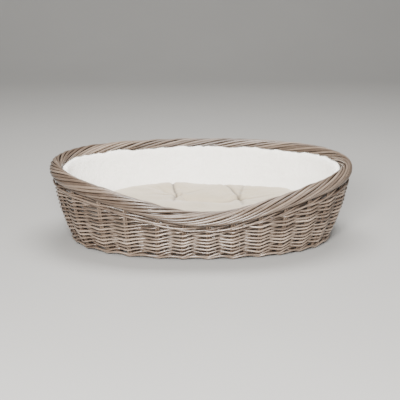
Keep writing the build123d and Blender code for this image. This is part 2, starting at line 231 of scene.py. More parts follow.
def math_node(nt, op, a, b=None, clamp=False):
    n = nt.nodes.new("ShaderNodeMath")
    n.operation = op
    n.use_clamp = clamp
    for i, v in enumerate((a, b)):
        if v is None:
            continue
        if hasattr(v, "links"):
            nt.links.new(v, n.inputs[i])
        else:
            n.inputs[i].default_value = v
    return n.outputs[0]


def ramp(nt, fac, stops):
    r = nt.nodes.new("ShaderNodeValToRGB")
    el = r.color_ramp.elements
    while len(el) < len(stops):
        el.new(0.5)
    for e, (p, c) in zip(el, stops):
        e.position = p
        e.color = (*c, 1.0)
    nt.links.new(fac, r.inputs[0])
    return r.outputs[0]


def mix(nt, fac, a, b, kind='MIX'):
    n = nt.nodes.new("ShaderNodeMix")
    n.data_type = 'RGBA'
    n.blend_type = kind
    for sock, v in ((n.inputs[0], fac), (n.inputs[6], a), (n.inputs[7], b)):
        if hasattr(v, "links"):
            nt.links.new(v, sock)
        elif isinstance(v, tuple):
            sock.default_value = (*v, 1.0)
        else:
            sock.default_value = v
    return n.outputs[2]


def noise_tex(nt, vec, scale, detail=3.0, rough=0.5):
    n = nt.nodes.new("ShaderNodeTexNoise")
    n.inputs["Scale"].default_value = scale
    n.inputs["Detail"].default_value = detail
    n.inputs["Roughness"].default_value = rough
    if vec is not None:
        nt.links.new(vec, n.inputs["Vector"])
    return n.outputs["Fac"]


def willow(name, light, mid, dark, rough=0.44, coat=0.22):
    """Grey-washed willow: a tone for each rod, streaks along it, stain and painted shade in the hollows."""
    m, nt, b = nodes_of(name)
    tone, along, deep = attr(nt, "tone"), attr(nt, "along"), attr(nt, "deep")
    geo = nt.nodes.new("ShaderNodeTexCoord").outputs["Object"]
    # streaks: object coordinates squeezed along the rod by its own length
    comb = nt.nodes.new("ShaderNodeCombineXYZ")
    nt.links.new(math_node(nt, 'MULTIPLY', along, 9.0), comb.inputs[0])
    nt.links.new(math_node(nt, 'MULTIPLY', tone, 37.0), comb.inputs[1])
    blot = noise_tex(nt, comb.outputs[0], 3.0, 4.0, 0.6)
    fine = noise_tex(nt, geo, 420.0, 3.0, 0.6)
    speck = noise_tex(nt, geo, 90.0, 4.0, 0.65)
    v = math_node(nt, 'ADD', math_node(nt, 'MULTIPLY', tone, 0.55), math_node(nt, 'MULTIPLY', blot, 0.45))
    v = math_node(nt, 'ADD', v, math_node(nt, 'MULTIPLY', math_node(nt, 'SUBTRACT', speck, 0.5), 0.30))
    col = ramp(nt, v, [(0.12, dark), (0.48, mid), (0.86, light)])
    # stain and painted shade held in the hollows
    shade = math_node(nt, 'MULTIPLY', deep, 0.95, True)
    col = mix(nt, shade, col, tuple(c * 0.34 for c in dark))
    col = mix(nt, math_node(nt, 'MULTIPLY', fine, 0.16), col, tuple(c * 0.55 for c in mid))
    nt.links.new(col, b.inputs["Base Color"])
    r = math_node(nt, 'ADD', math_node(nt, 'MULTIPLY', speck, 0.22), rough - 0.11)
    nt.links.new(r, b.inputs["Roughness"])
    b.inputs["Coat Weight"].default_value = coat
    b.inputs["Coat Roughness"].default_value = 0.30
    b.inputs["Specular IOR Level"].default_value = 0.5
    bump = nt.nodes.new("ShaderNodeBump")
    bump.inputs["Strength"].default_value = 0.30
    bump.inputs["Distance"].default_value = 0.0005
    h = math_node(nt, 'ADD', math_node(nt, 'MULTIPLY', speck, 0.7), math_node(nt, 'MULTIPLY', fine, 0.4))
    nt.links.new(h, bump.inputs["Height"])
    nt.links.new(bump.outputs[0], b.inputs["Normal"])
    return m


MAT_WEAVE = willow("willow_weave", (0.335, 0.262, 0.207), (0.162, 0.118, 0.088), (0.050, 0.031, 0.021), 0.34, 0.4)
MAT_BORDER = willow("willow_border", (0.225, 0.170, 0.130), (0.112, 0.079, 0.057), (0.038, 0.023, 0.015), 0.36, 0.32)
MAT_STAKE = willow("willow_stake", (0.26, 0.20, 0.155), (0.15, 0.108, 0.080), (0.065, 0.043, 0.030))
MAT_BASE = willow("willow_base", (0.36, 0.29, 0.235), (0.21, 0.16, 0.125), (0.09, 0.062, 0.045), 0.45, 0.15)


def plush_material():
    m, nt, b = nodes_of("plush_pile")
    geo = nt.nodes.new("ShaderNodeTexCoord").outputs["Object"]
    big = noise_tex(nt, geo, 9.0, 3.0, 0.5)
    clump = noise_tex(nt, geo, 170.0, 4.0, 0.62)
    fibre = noise_tex(nt, geo, 900.0, 2.0, 0.6)
    col = ramp(nt, big, [(0.25, (0.90, 0.885, 0.835)), (0.75, (0.955, 0.945, 0.905))])
    col = mix(nt, math_node(nt, 'MULTIPLY', math_node(nt, 'SUBTRACT', 0.62, clump, True), 0.7, True), col, (0.70, 0.665, 0.60))
    # painted shade on the liner's outer face and underside, seen through the weave
    col = mix(nt, attr(nt, "outer_face_shade"), col, (0.12, 0.092, 0.07))
    nt.links.new(col, b.inputs["Base Color"])
    b.inputs["Roughness"].default_value = 0.95
    b.inputs["Specular IOR Level"].default_value = 0.12
    b.inputs["Sheen Weight"].default_value = 0.55
    b.inputs["Sheen Roughness"].default_value = 0.55
    bump = nt.nodes.new("ShaderNodeBump")
    bump.inputs["Strength"].default_value = 0.7
    bump.inputs["Distance"].default_value = 0.0022
    h = math_node(nt, 'ADD', math_node(nt, 'MULTIPLY', clump, 1.0), math_node(nt, 'MULTIPLY', fibre, 0.35))
    nt.links.new(h, bump.inputs["Height"])
    nt.links.new(bump.outputs[0], b.inputs["Normal"])
    return m


def cotton_material(name, light, dark, weave=1500.0):
    m, nt, b = nodes_of(name)
    geo = nt.nodes.new("ShaderNodeTexCoord").outputs["Object"]
    big = noise_tex(nt, geo, 16.0, 3.0, 0.5)
    slub = noise_tex(nt, geo, 240.0, 3.0, 0.6)
    col = ramp(nt, big, [(0.3, dark), (0.72, light)])
    col = mix(nt, math_node(nt, 'MULTIPLY', math_node(nt, 'SUBTRACT', slub, 0.45, True), 0.55, True), col, tuple(c * 0.86 for c in dark))
    # painted shade held in the creases and tuft pinches
    col = mix(nt, math_node(nt, 'MULTIPLY', attr(nt, "deep"), 0.95, True), col, tuple(c * 0.20 for c in dark))
    nt.links.new(col, b.inputs["Base Color"])
    b.inputs["Roughness"].default_value = 0.88
    b.inputs["Specular IOR Level"].default_value = 0.2
    b.inputs["Sheen Weight"].default_value = 0.22
    b.inputs["Sheen Roughness"].default_value = 0.5
    # plain weave: two crossed sets of threads
    sep = nt.nodes.new("ShaderNodeSeparateXYZ")
    nt.links.new(geo, sep.inputs[0])
    wx = math_node(nt, 'SINE', math_node(nt, 'MULTIPLY', sep.outputs[0], weave * 2 * math.pi))
    wy = math_node(nt, 'SINE', math_node(nt, 'MULTIPLY', sep.outputs[1], weave * 2 * math.pi))
    th = math_node(nt, 'MULTIPLY', wx, wy)
    bump = nt.nodes.new("ShaderNodeBump")
    bump.inputs["Strength"].default_value = 0.35
    bump.inputs["Distance"].default_value = 0.0006
    h = math_node(nt, 'ADD', math_node(nt, 'MULTIPLY', th, 0.18), slub)
    nt.links.new(h, bump.inputs["Height"])
    nt.links.new(bump.outputs[0], b.inputs["Normal"])
    return m


MAT_PLUSH = plush_material()
MAT_COTTON = cotton_material("cotton_cover", (0.46, 0.392, 0.295), (0.39, 0.327, 0.240), 700.0)
MAT_THREAD = cotton_material("tuft_thread", (0.66, 0.61, 0.54), (0.58, 0.53, 0.46), 1500.0)
MAT_FILL = cotton_material("fibre_filling", (0.88, 0.88, 0.86), (0.82, 0.82, 0.80), 400.0)


def place(ob, body, slot, *nodes):
    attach(ob, body)
    if nodes:
        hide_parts(*nodes)
    return ob


# ------------------------------------------------------------- wall weave
PER = 10  # samples from one stake to the next


def dip_at(z):
    """How far a row sags at each stake: much near the floor, little higher up."""
    return 0.8 + 3.1 * np.exp(-((np.asarray(z, float) - 8.0) / 27.0))


def sag(k, z):
    """Sharp sag where a row passes a stake, in step with the stations."""
    return dip_at(z) * (0.42 - (1 - np.abs(np.sin(np.pi * k))))


def out_and_in(k):
    """+1 in front of a stake, -1 behind the next, nearly straight between."""
    return np.arcsin(0.975 * np.cos(np.pi * k)) / math.asin(0.975)


def cut_rods(k, lengths):
    """Cuts a strand into rods: list of index ranges."""
    out, i = [], 0
    n = len(k)
    while i < n - 1:
        step = int(PER * (18 + 12 * rng.random()))
        j = min(n - 1, i + step)
        if n - 1 - j < PER * 6:
            j = n - 1
        out.append((i, j))
        i = j
    return out


ROW_HALF = 4.35


def ceiling(t):
    """Underside of the top wale."""
    return rim_z(t) - BORDER_V - 8.2 - 4.3 - 2.3


def row_span(z):
    """Where a row has room under the top wale: stations from and to, or None all round."""
    k = np.arange(-6.0, N_ST - 6.0, 0.02)
    room = np.minimum(z + ROW_HALF, ceiling(station(k)) - 0.1) - (z - ROW_HALF)
    ok = room >= 4.3
    if ok.all():
        return None
    k = np.arange(0.0, N_ST + 0.01, 0.02) - 0.15
    room = np.minimum(z + ROW_HALF, ceiling(station(k)) - 0.1) - (z - ROW_HALF)
    ok = room >= 4.3
    runs, i = [], 0
    while i < len(k):
        if ok[i]:
            j = i
            while j + 1 < len(k) and ok[j + 1]:
                j += 1
            if k[j] - k[i] > 1.5:
                runs.append((k[i], k[j]))
            i = j + 1
        else:
            i += 1
    return runs


def weave_row(z, runs, phase, tubes, shift):
    amp = 6.3
    for k0, k1 in runs:
        m = int(round((k1 - k0) * PER)) + 1
        k = np.linspace(k0, k1, m)
        t = station(k)
        x, y, _, _ = wall(z, t)
        s = np.concatenate([[0], np.cumsum(np.hypot(np.diff(x), np.diff(y)))])
        top = np.minimum(z + ROW_HALF, ceiling(t) - 0.1)
        mid, half = (top + z - ROW_HALF) / 2, (top - z + ROW_HALF) / 2
        lift = np.maximum(half - 1.95, 0.0)
        d = amp * out_and_in(k + phase)
        if k1 - k0 < N_ST - 0.5:
            end = np.minimum(k - k0, k1 - k)
            d = np.where(end < 0.35, np.minimum(d, -4.5 + 10 * end / 0.35), d)
        up = lift * np.sin(np.pi * (k + phase))
        squeeze = np.clip(lift / 2.15, 0, 1)
        up = up + sag(k, z) * squeeze
        d = d + smooth_noise(s, 70.0, 0.35)
        up = up + (smooth_noise(s, 80.0, 0.42) + shift(t)) * squeeze
        P = on_wall(mid, t, d, up)
        # painted shade, with some stain, where the rod passes behind a stake
        deep = np.clip(0.5 - 0.5 * d / amp, 0, 1) ** 1.1
        out = on_wall(mid, t, 1.0, 0.0) - on_wall(mid, t, 0.0, 0.0)
        for i, j in cut_rods(k, None):
            butt = 2.45 + 0.3 * rng.random()
            tip = 1.85 + 0.25 * rng.random()
            m = j - i + 1
            rad = np.linspace(butt, tip, m) + smooth_noise(s[i:j + 1], 60.0, 0.08)
            tubes.add(P[i:j + 1], rad, 10, tone=float(np.clip(rng.normal(0.52, 0.27), 0, 1)),
                      deep=deep[i:j + 1] * 0.8, face=out[i:j + 1], hollow=0.75,
                      s0=float(rng.random() * 5000), point=0.2)


def make_rows():
    for row in range(N_ROWS):
        z = ROW_Z0 + ROW_PITCH * row
        runs = row_span(z)
        tubes = Tubes()
        p1, p2 = rng.random() * 6.28, rng.random() * 6.28
        shift = lambda t: 0.5 * np.sin(3 * t + p1) + 0.4 * np.sin(7 * t + p2)
        for phase in (0, 1):
            if runs is None:
                first = (row * 7) % N_ST
                first += (first + phase + 1) % 2
                rr = [(first, first + N_ST)]
            else:
                rr = runs
            weave_row(z, rr, phase, tubes, shift)
        name = "weave_row_%02d" % (row + 1)
        ob = tubes.build("willow_row_%02d" % (row + 1), MAT_WEAVE)
        place(ob, "basket", "willow", name)


def wale(z_of, first, node, label, r=2.25, amp=6.2, lift=4.3, dips=True):
    tubes = Tubes()
    for s in range(3):
        keys = []
        for i in range(2 * N_ST + 1):
            step = i % 6
            keys.append(((-amp, 0.0), (-0.4, -lift), (amp, -lift / 2), (amp + 0.8, 0.0),
                         (amp, lift / 2), (0.4, lift))[step])
        keys = np.array(keys)
        kk = np.arange(len(keys))
        k = np.arange((len(keys) - 1) * PER // 2 + 1) / (PER / 2)
        # smooth through the keys
        d = catmull(k, keys[:, 0])
        up = catmull(k, keys[:, 1])
        st = first + s + k / 2
        t = station(st)
        z = z_of(t)
        x, y, _, _ = wall(z, t)
        arc = np.concatenate([[0], np.cumsum(np.hypot(np.diff(x), np.diff(y)))])
        up = up + smooth_noise(arc, 90.0, 0.35) + (1.5 * sag(st, z) if dips else 0.0)
        d = d + smooth_noise(arc, 70.0, 0.3)
        P = on_wall(z, t, d, up)
        # painted shade, with some stain, where the rod passes behind a stake
        deep = np.clip((amp - d) / (2.4 * amp), 0, 1)
        out = on_wall(z, t, 1.0, 0.0) - on_wall(z, t, 0.0, 0.0)
        for i, j in cut_rods(k, None):
            m = j - i + 1
            rad = np.linspace(r + 0.3, r - 0.15, m)
            tubes.add(P[i:j + 1], rad, 10, tone=float(np.clip(rng.normal(0.5, 0.25), 0, 1)),
                      deep=deep[i:j + 1] * 0.8, face=out[i:j + 1], hollow=0.75,
                      s0=float(rng.random() * 5000), point=0.2)
    ob = tubes.build(label, MAT_WEAVE)
    place(ob, "basket", "willow", node)


def catmull(x, keys):
    i = np.clip(np.floor(x).astype(int), 0, len(keys) - 2)
    f = x - i
    p0, p1 = keys[np.clip(i - 1, 0, len(keys) - 1)], keys[i]
    p2, p3 = keys[i + 1], keys[np.clip(i + 2, 0, len(keys) - 1)]
    return 0.5 * (2 * p1 + (p2 - p0) * f + (2 * p0 - 5 * p1 + 4 * p2 - p3) * f ** 2 + (3 * p1 - p0 - 3 * p2 + p3) * f ** 3)


# ------------------------------------------------------ stakes, bye-stakes
def make_stakes():
    stakes, byes = Tubes(), Tubes()
    for k in range(N_ST):
        t = float(ST[k])
        _, _, nx, ny = wall(40.0, t)
        tx, ty = -ny, nx
        lean = float(rng.normal(0, 0.5))
        t1, t0 = t + 0.02, t - 0.02
        xa, ya, _, _ = wall(100.0, t1)
        xb, yb, _, _ = wall(100.0, t0)
        slope = float((rim_z(t1) - rim_z(t0)) / math.hypot(xa - xb, ya - yb))
        top = float(rim_z(t)) - (BORDER_V - 1.0) * math.hypot(1.0, slope) - 5.0 * abs(slope)
        # stake: foot in the base, bend, wall
        x0, y0, _, _ = wall(0.0, t)
        pts = [(x0 - nx * 78, y0 - ny * 78, 8.1), (x0 - nx * 50, y0 - ny * 50, 8.0), (x0 - nx * 24, y0 - ny * 24, 7.0),
               (x0 - nx * 9, y0 - ny * 9, 4.4), (x0 - nx * 1, y0 - ny * 1, 3.5)]
        for z in np.linspace(8.0, top, 12):
            x, y, _, _ = wall(z, t)
            sway = lean * (z - 8) / 60.0
            pts.append((float(x) + tx * sway, float(y) + ty * sway, float(z)))
        pts = np.array(pts)
        u = np.linspace(0, len(pts) - 1, 60)
        P = np.stack([catmull(u, pts[:, i]) for i in range(3)], -1)
        P[:, 2] = np.maximum(P[:, 2], 3.4)
        side = np.array([tx, ty, 0.0])
        stakes.add(P - side * 2.8, np.linspace(3.0, 2.7, 60), 12, tone=float(np.clip(rng.normal(0.45, 0.18), 0, 1)),
                   deep=np.full(60, 0.35), s0=float(rng.random() * 5000), point=0.6)
        q = pts[5:].copy()
        u = np.linspace(0, len(q) - 1, 40)
        P = np.stack([catmull(u, q[:, i]) for i in range(3)], -1)
        byes.add(P + side * 2.5, np.linspace(2.5, 2.1, 40), 10, tone=float(np.clip(rng.normal(0.45, 0.18), 0, 1)),
                 deep=np.full(40, 0.4), s0=float(rng.random() * 5000), point=1.2)
    place(stakes.build("willow_stakes", MAT_STAKE), "basket", "willow", "stakes")
    place(byes.build("willow_bye_stakes", MAT_STAKE), "basket", "willow", "bye_stakes")


# ----------------------------------------------------------------- border
def rim_line():
    t = np.linspace(0, 2 * np.pi, 2881)
    z = rim_z(t)
    x, y, _, _ = wall(z, t)
    arc = np.concatenate([[0], np.cumsum(np.sqrt(np.diff(x) ** 2 + np.diff(y) ** 2 + np.diff(z) ** 2))])
    return t, arc


RIM_T, RIM_ARC = rim_line()
RIM_LEN = RIM_ARC[-1]


def rim_t(s):
    turns = np.floor(s / RIM_LEN)
    return np.interp(s - turns * RIM_LEN, RIM_ARC, RIM_T) + 2 * np.pi * turns


def rim_frame(s):
    t = rim_t(s)
    z = rim_z(t)
    x, y, nx, ny = wall(z, t)
    c = np.stack([x, y, z], -1)
    ta, tb = rim_t(s + 2.0), rim_t(s - 2.0)
    xa, ya, _, _ = wall(rim_z(ta), ta)
    xb, yb, _, _ = wall(rim_z(tb), tb)
    tan = np.stack([xa - xb, ya - yb, rim_z(ta) - rim_z(tb)], -1)
    tan /= np.linalg.norm(tan, axis=-1, keepdims=True)
    out = np.stack([nx, ny, np.zeros_like(nx)], -1)
    out -= tan * np.sum(out * tan, -1, keepdims=True)
    out /= np.linalg.norm(out, axis=-1, keepdims=True)
    up = np.cross(tan, out)
    up *= np.where(up[..., 2:3] < 0, -1, 1)
    return c, out, up, tan


def ellipse_angle(f, eh, ev):
    a = np.linspace(0, 2 * np.pi, 1441)
    x, y = eh * np.cos(a), ev * np.sin(a)
    arc = np.concatenate([[0], np.cumsum(np.hypot(np.diff(x), np.diff(y)))])
    turns = np.floor(f)
    return np.interp((f - turns) * arc[-1], arc, a) + 2 * np.pi * turns


def make_border():
    tubes = Tubes()
    n_rods, layers = 60, 12
    lay = RIM_LEN * layers / n_rods
    for i in range(n_rods):
        r0 = 3.08 + 0.14 * float(np.clip(rng.normal(), -1.6, 1.6))
        s0 = RIM_LEN * i / n_rods + rng.normal() * 2.2
        m = 64
        f = np.linspace(0, 11.2 / 12, m)
        s = s0 + f * lay
        c, out, up, tan = rim_frame(s)
        rad = np.linspace(r0 + 0.18, r0 - 0.38, m)
        eh, ev = BORDER_H - 3.3, BORDER_V - 3.3
        proud = 0.45 * float(np.clip(rng.normal(), -1.5, 1.5))
        jit = smooth_noise(s, 150.0, 0.006)
        th = ellipse_angle(0.70 + f + jit, eh, ev)
        puff = 1.0 + smooth_noise(s, 120.0, 0.022) + proud / 12.0
        # both ends tuck in under the border
        tuck = 1.0 - 0.16 * np.exp(-f / 0.05) - 0.20 * np.exp(-(f[-1] - f) / 0.05)
        P = c + out * (eh * np.cos(th) * puff * tuck)[:, None] + up * (ev * np.sin(th) * puff * tuck)[:, None]
        # painted shade, with some stain, where the rod ends tuck in
        deep = 0.12 + 0.75 * np.clip(1 - tuck, 0, 1) / 0.2 * 0.5
        # painted shade, with some stain, on the inner face and the underside
        deep = deep + 0.15 * np.clip(-np.sin(th), 0, 1)
        ax = out * np.cos(th)[:, None] / eh + up * np.sin(th)[:, None] / ev
        ax /= np.linalg.norm(ax, axis=1)[:, None]
        tubes.add(P, rad, 14, tone=float(np.clip(rng.normal(0.5, 0.26), 0, 1)), deep=np.clip(deep, 0, 1) * 0.8,
                  face=ax, hollow=1.0, s0=float(rng.random() * 5000), point=0.8)
    ob = tubes.build("willow_border", MAT_BORDER)
    place(ob, "basket", "border_willow", "border_rods")
    # the bundled tails inside the border
    core = Tubes()
    s = np.linspace(0, RIM_LEN, 361)
    c, out, up, tan = rim_frame(s)
    for j in range(7):
        a = 2 * np.pi * j / 6
        k = 0.0 if j == 6 else 1.0
        th = a + s / RIM_LEN * 2 * np.pi * 5
        P = c + out * (5.0 * k * np.cos(th))[:, None] + up * (7.4 * k * np.sin(th))[:, None]
        # deep=0.8 paints shade on the core enclosed inside the border
        core.add(P[:-1], 2.9, 8, tone=0.3 + 0.05 * j, deep=0.8, s0=100.0 * j)
    ob = core.build("willow_border_core", MAT_BORDER)
    place(ob, "basket", "border_willow", "border_core")


# ------------------------------------------------------------------- base
STICK_Z = 8.1
LONG_Y = [-26.0, 0.0, 26.0]
CROSS_X = [-208.0, -156.0, -104.0, -52.0, 0.0, 52.0, 104.0, 156.0, 208.0]


def superellipse(a, b, n, t):
    c, s = np.cos(t), np.sin(t)
    return a * np.sign(c) * np.abs(c) ** (2 / n), b * np.sign(s) * np.abs(s) ** (2 / n)


def make_base():
    a_in, b_in, n_in = BASE_A - 24, BASE_B - 24, BASE_N
    longs, cross = Tubes(), Tubes()
    for y in LONG_Y:
        h = a_in * (1 - (abs(y) / b_in) ** n_in) ** (1 / n_in)
        s = np.linspace(-h, h, 90)
        P = np.stack([s, np.full(90, y + Y_SHIFT) + smooth_noise(s, 200, 0.4), np.full(90, STICK_Z)], -1)
        rad = 2.7 + 0.15 * np.sin(s / 90)
        longs.add(P, rad, 12, tone=0.5, deep=0.2, point=1.0)
    for x in CROSS_X:
        h = b_in * (1 - (abs(x) / a_in) ** n_in) ** (1 / n_in)
        s = np.linspace(-h, h, 90)
        P = np.stack([np.full(90, x) + smooth_noise(s, 200, 0.4), s + Y_SHIFT, np.full(90, STICK_Z)], -1)
        # split and swollen where the long sticks pass through
        rad = np.full(90, 4.3) - 0.8 * (np.abs(s) / h) ** 6
        for y in LONG_Y:
            rad += 0.75 * np.exp(-((s - y) / 8.0) ** 2)
        cross.add(P, rad, 14, tone=float(0.4 + 0.3 * rng.random()), deep=0.15, point=0.4)
    place(longs.build("base_sticks_long", MAT_BASE), "basket", "base_sticks", "base_long_sticks")
    place(cross.build("base_sticks_cross", MAT_BASE), "basket", "base_sticks", "base_cross_sticks")

    weave = Tubes()

    def pair(P, k, r, z_amp, lat, tone_mu=0.5):
        """Two rods twined along the line P with station numbers k."""
        T = np.gradient(P, axis=0)
        T /= np.linalg.norm(T, axis=1)[:, None] + 1e-9
        side = np.stack([-T[:, 1], T[:, 0], np.zeros(len(T))], -1)
        for ph in (0, 1):
            c = np.cos(np.pi * (k + ph))
            Q = P + side * (lat * np.sin(np.pi * (k + ph)))[:, None]
            Q[:, 2] = STICK_Z + z_amp * np.sign(c) * np.abs(c) ** 0.7
            weave.add(Q, r + smooth_noise(k * 50, 200, 0.06), 8, tone=float(np.clip(rng.normal(tone_mu, 0.2), 0, 1)),
                      deep=0.25, s0=float(rng.random() * 4000), point=0.3)

    # rounds that go all the way, from the outside in
    for j in range(8):
        a, b = a_in - 3.0 - 5.2 * j, b_in - 3.0 - 5.2 * j
        t = np.linspace(0.15, 0.15 + 2 * np.pi, 500)[:-1]
        x, y = superellipse(a, b, n_in, t)
        marks = []
        for cx in CROSS_X:
            if abs(cx) < a - 6:
                idx = np.where(np.diff(np.sign(x - cx)) != 0)[0]
                marks += idx.tolist()
        for ly in LONG_Y:
            idx = np.where(np.diff(np.sign(y - ly)) != 0)[0]
            marks += idx.tolist()
        marks = sorted(set(marks))
        k = np.interp(np.arange(len(t)), [marks[-1] - len(t)] + marks + [marks[0] + len(t)], np.arange(-1, len(marks) + 1))
        P = np.stack([x, y + Y_SHIFT, np.full_like(x, STICK_Z)], -1)
        pair(P, k + j, 2.15, 5.4, 2.2)
    # packing along the two long sides
    b_last = b_in - 3.0 - 5.2 * 7
    a_last = a_in - 3.0 - 5.2 * 7
    ys = np.arange(33.0, b_last - 4.0, 5.3)
    for sgn in (-1, 1):
        for y0 in ys:
            f = (y0 - 33.0) / (b_last - 33.0)
            h = a_last * (1 - (y0 / b_last) ** n_in) ** (1 / n_in) - 5.0
            h = min(h, 222.0)
            xs = np.linspace(-h, h, 260)
            yy = sgn * (y0 - 6.0 * f * (np.abs(xs) / 222.0) ** 3)
            marks = [cx for cx in CROSS_X if abs(cx) < h - 2]
            k = np.interp(xs, [marks[0] - 52] + marks + [marks[-1] + 52], np.arange(-1, len(marks) + 1))
            P = np.stack([xs, yy + Y_SHIFT, np.full_like(xs, STICK_Z)], -1)
            pair(P, k + int(y0 // 5.3), 2.1, 5.4, 2.2)
    # binding between the long sticks
    for y0 in (-19.5, -13.0, -6.5, 6.5, 13.0, 19.5):
        xs = np.linspace(-224, 224, 260)
        k = np.interp(xs, [CROSS_X[0] - 52] + CROSS_X + [CROSS_X[-1] + 52], np.arange(-1, 10))
        P = np.stack([xs, np.full_like(xs, y0 + Y_SHIFT), np.full_like(xs, STICK_Z)], -1)
        pair(P, k + int(y0 * 2 // 13), 2.1, 5.4, 1.0)
    ob = weave.build("base_weave", MAT_BASE)
    place(ob, "basket", "willow", "base_weave_under", "base_weave_over")


# ------------------------------------------------------------------ liner
LINER_OFF, LINER_T, LINER_Z0 = 15.6, 11.0, 17.2


def fbm(V, scale, octaves=3, seed=0.0):
    out = np.empty(len(V))
    for i, p in enumerate(V):
        q = Vector((p[0] * scale + seed, p[1] * scale - seed, p[2] * scale + 2 * seed))
        out[i] = noise.fractal(q, 1.0, 2.0, octaves)
    return out


def make_liner():
    nt_ = 460
    t = np.linspace(0, 2 * np.pi, nt_, endpoint=False)
    rz = rim_z(t)
    # wavy hand-cut top edge
    top = (rz - 1.2 + 1.2 * np.sin(5 * t + 0.6) + 1.1 * np.sin(11 * t + 2.0) + 0.8 * np.sin(23 * t)
           + 0.7 * np.sin(41 * t + 1.0) + 0.5 * np.sin(67 * t + 2.2))
    prof = []  # (offset from outer face 0..1, height 0..1, where)
    n_out, n_top, n_in, n_bot = 12, 9, 34, 4
    for i in range(n_out):
        prof.append((0.0, i / n_out * 0.97, 0))
    for i in range(n_top):
        a = math.pi * i / (n_top - 1)
        prof.append((0.5 - 0.5 * math.cos(a), 0.97 + 0.03 * math.sin(a), 1))
    for i in range(1, n_in + 1):
        prof.append((1.0, 0.97 * (1 - i / n_in), 2))
    for i in range(1, n_bot):
        prof.append((1.0 - i / n_bot, 0.0, 3))
    m = len(prof)
    V = np.zeros((nt_, m, 3))
    for j, (o, h, w) in enumerate(prof):
        z = LINER_Z0 + (top - LINER_Z0) * h
        belly = 1.2 * np.clip((z - 84.0) / 30.0, 0, 1) if w == 2 else 0.0
        off = -LINER_OFF + 0.4 - (LINER_T - 0.4 + belly) * o
        x, y, _, _ = wall(z, t, off)
        V[:, j, 0], V[:, j, 1], V[:, j, 2] = x, y, z
    flat = V.reshape(-1, 3).copy()
    # outward direction on the inner face and the rolled top
    _, _, nx, ny = wall(60.0, t)
    N = np.zeros_like(V)
    for j, (o, h, w) in enumerate(prof):
        if w == 2:
            N[:, j, 0], N[:, j, 1] = -nx, -ny
        elif w == 1:
            a = math.pi * (j - n_out) / (n_top - 1)
            N[:, j, 0], N[:, j, 1], N[:, j, 2] = nx * math.cos(a), ny * math.cos(a), math.sin(a)
            N[:, j, 0:2] *= 1.0 if a > math.pi / 2 else 0.25
    N = N.reshape(-1, 3)
    live = np.linalg.norm(N, axis=1) > 0.01
    disp = np.zeros(len(flat))
    L = flat[live]
    disp[live] = 1.7 * fbm(L, 0.018, 2, 3.1) + 0.9 * fbm(L, 0.075, 2, 8.7)
    disp[live] += 0.85 * fbm(L, 0.33, 3, 5.5)
    # the sewn seam at the back and one at each end
    tt = np.repeat(t, m)
    for ts in (math.radians(87.5), math.radians(0.0), math.radians(180.0)):
        d = np.angle(np.exp(1j * (tt - ts))) * 240.0
        disp -= np.where(live, 2.1 * np.exp(-(d / 2.6) ** 2) - 0.9 * np.exp(-(np.abs(np.abs(d) - 8) / 5) ** 2), 0)
    disp = np.clip(disp, -2.6, 2.4)
    # flat where the pad presses on it
    press = np.clip((flat[:, 2] - 84.0) / 16.0, 0, 1)
    disp = np.where(disp > 0, disp * (0.15 + 0.85 * press), disp)
    flat += N * disp[:, None]
    F = []
    for i in range(nt_):
        i1 = (i + 1) % nt_
        for j in range(m):
            j1 = (j + 1) % m
            F.append((i * m + j, i1 * m + j, i1 * m + j1, i * m + j1))
    ob = mesh_object("plush_wall", flat / 1000.0, F, MAT_PLUSH)
    # painted shade: marks the outer face and underside, behind the weave, for darkening
    at = ob.data.attributes.new("outer_face_shade", 'FLOAT', 'POINT')
    back = np.array([1.0 if (w == 0 and h < 0.93) or w == 3 else 0.0 for (o, h, w) in prof])
    at.data.foreach_set("value", np.tile(back, nt_).astype(np.float32))
    place(ob, "liner", "plush", "liner_wall")
    # pile standing along the top edge and over the inner face
    V3 = flat.reshape(nt_, m, 3)
    fib_v, fib_f = [], []

    def fibre(p, d, length, w, side):
        b = len(fib_v)
        mid = p + d * length * 0.55 + side * w * 0.8
        tip = p + d * length + side * w * 2.2
        fib_v.extend([p - side * w, p + side * w, mid + side * w * 0.6, mid - side * w * 0.6, tip])
        fib_f.append((b, b + 1, b + 2, b + 3))
        fib_f.append((b + 3, b + 2, b + 4))

    n_edge = 9000
    for _ in range(n_edge):
        i = int(rng.random() * nt_)
        j = n_out + int(rng.random() * (n_top + 3))
        j = min(j, m - 2)
        u, v = rng.random(), rng.random()
        i1 = (i + 1) % nt_
        p = (V3[i, j] * (1 - u) + V3[i1, j] * u) * (1 - v) + (V3[i, j + 1] * (1 - u) + V3[i1, j + 1] * u) * v
        a = math.pi * min(1.0, max(0.0, (j - n_out) / (n_top - 1)))
        n3 = np.array([nx[i] * math.cos(a), ny[i] * math.cos(a), 0.35 + math.sin(a)])
        n3[:2] *= 0.35 if a < math.pi / 2 else 1.0
        n3 += rng.normal(0, 0.38, 3)
        n3 /= np.linalg.norm(n3)
        side = np.cross(n3, [0, 0, 1.0])
        side /= np.linalg.norm(side) + 1e-9
        fibre(p, n3, 1.6 + 2.0 * rng.random(), 0.22, side)
    n_face = 26000
    for _ in range(n_face):
        i = int(rng.random() * nt_)
        j = n_out + n_top + int(rng.random() * (n_in - 1))
        u, v = rng.random(), rng.random()
        i1 = (i + 1) % nt_
        p = (V3[i, j] * (1 - u) + V3[i1, j] * u) * (1 - v) + (V3[i, j + 1] * (1 - u) + V3[i1, j + 1] * u) * v
        n3 = np.array([-nx[i], -ny[i], -0.25]) + rng.normal(0, 0.5, 3)
        n3 /= np.linalg.norm(n3)
        side = np.cross(n3, [0.1, 0.2, 1.0])
        side /= np.linalg.norm(side) + 1e-9
        fibre(p, n3, 1.2 + 1.2 * rng.random(), 0.25, side)
    pile = mesh_object("plush_pile", np.array(fib_v) / 1000.0, fib_f, MAT_PLUSH)
    place(pile, "liner", "plush")

